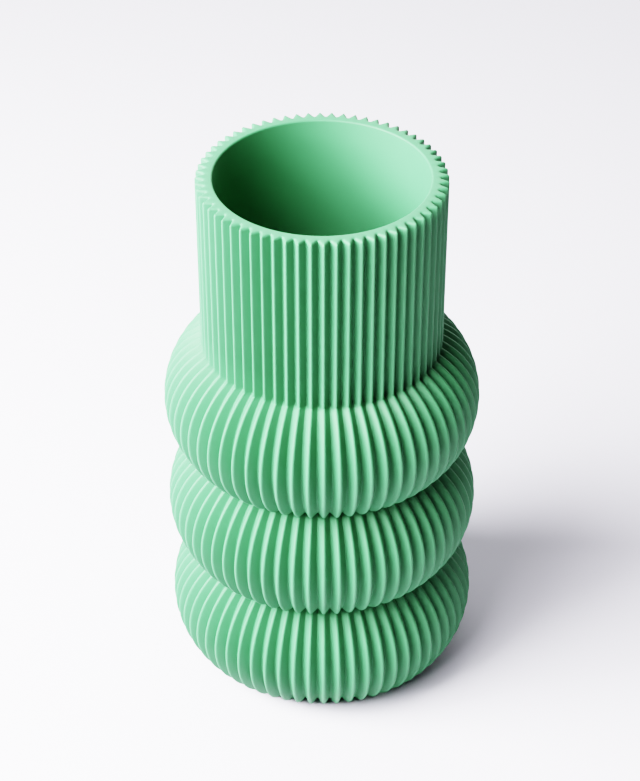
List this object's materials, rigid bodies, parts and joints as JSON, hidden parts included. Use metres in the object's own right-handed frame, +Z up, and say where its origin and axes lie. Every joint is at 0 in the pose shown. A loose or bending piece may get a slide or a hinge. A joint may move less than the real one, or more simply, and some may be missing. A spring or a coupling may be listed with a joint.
{
  "type": "ribbed vase",
  "caption": "One-piece flower vase: a straight round neck on stacked round bulges, with sharp vertical ribs outside and a smooth inside.",
  "frame": {"origin": "centre of the flat base, on the surface it stands on", "axes": "+Z up along the vase axis to the mouth; a rib crest lies on each of +X, +Y, -X and -Y"},
  "size_m": [0.1324, 0.1324, 0.2373],
  "materials": {
    "vase_plastic": "smooth matte mint green"
  },
  "bodies": {
    "root": {"vase": "vase_plastic"}
  },
  "joints": []
}
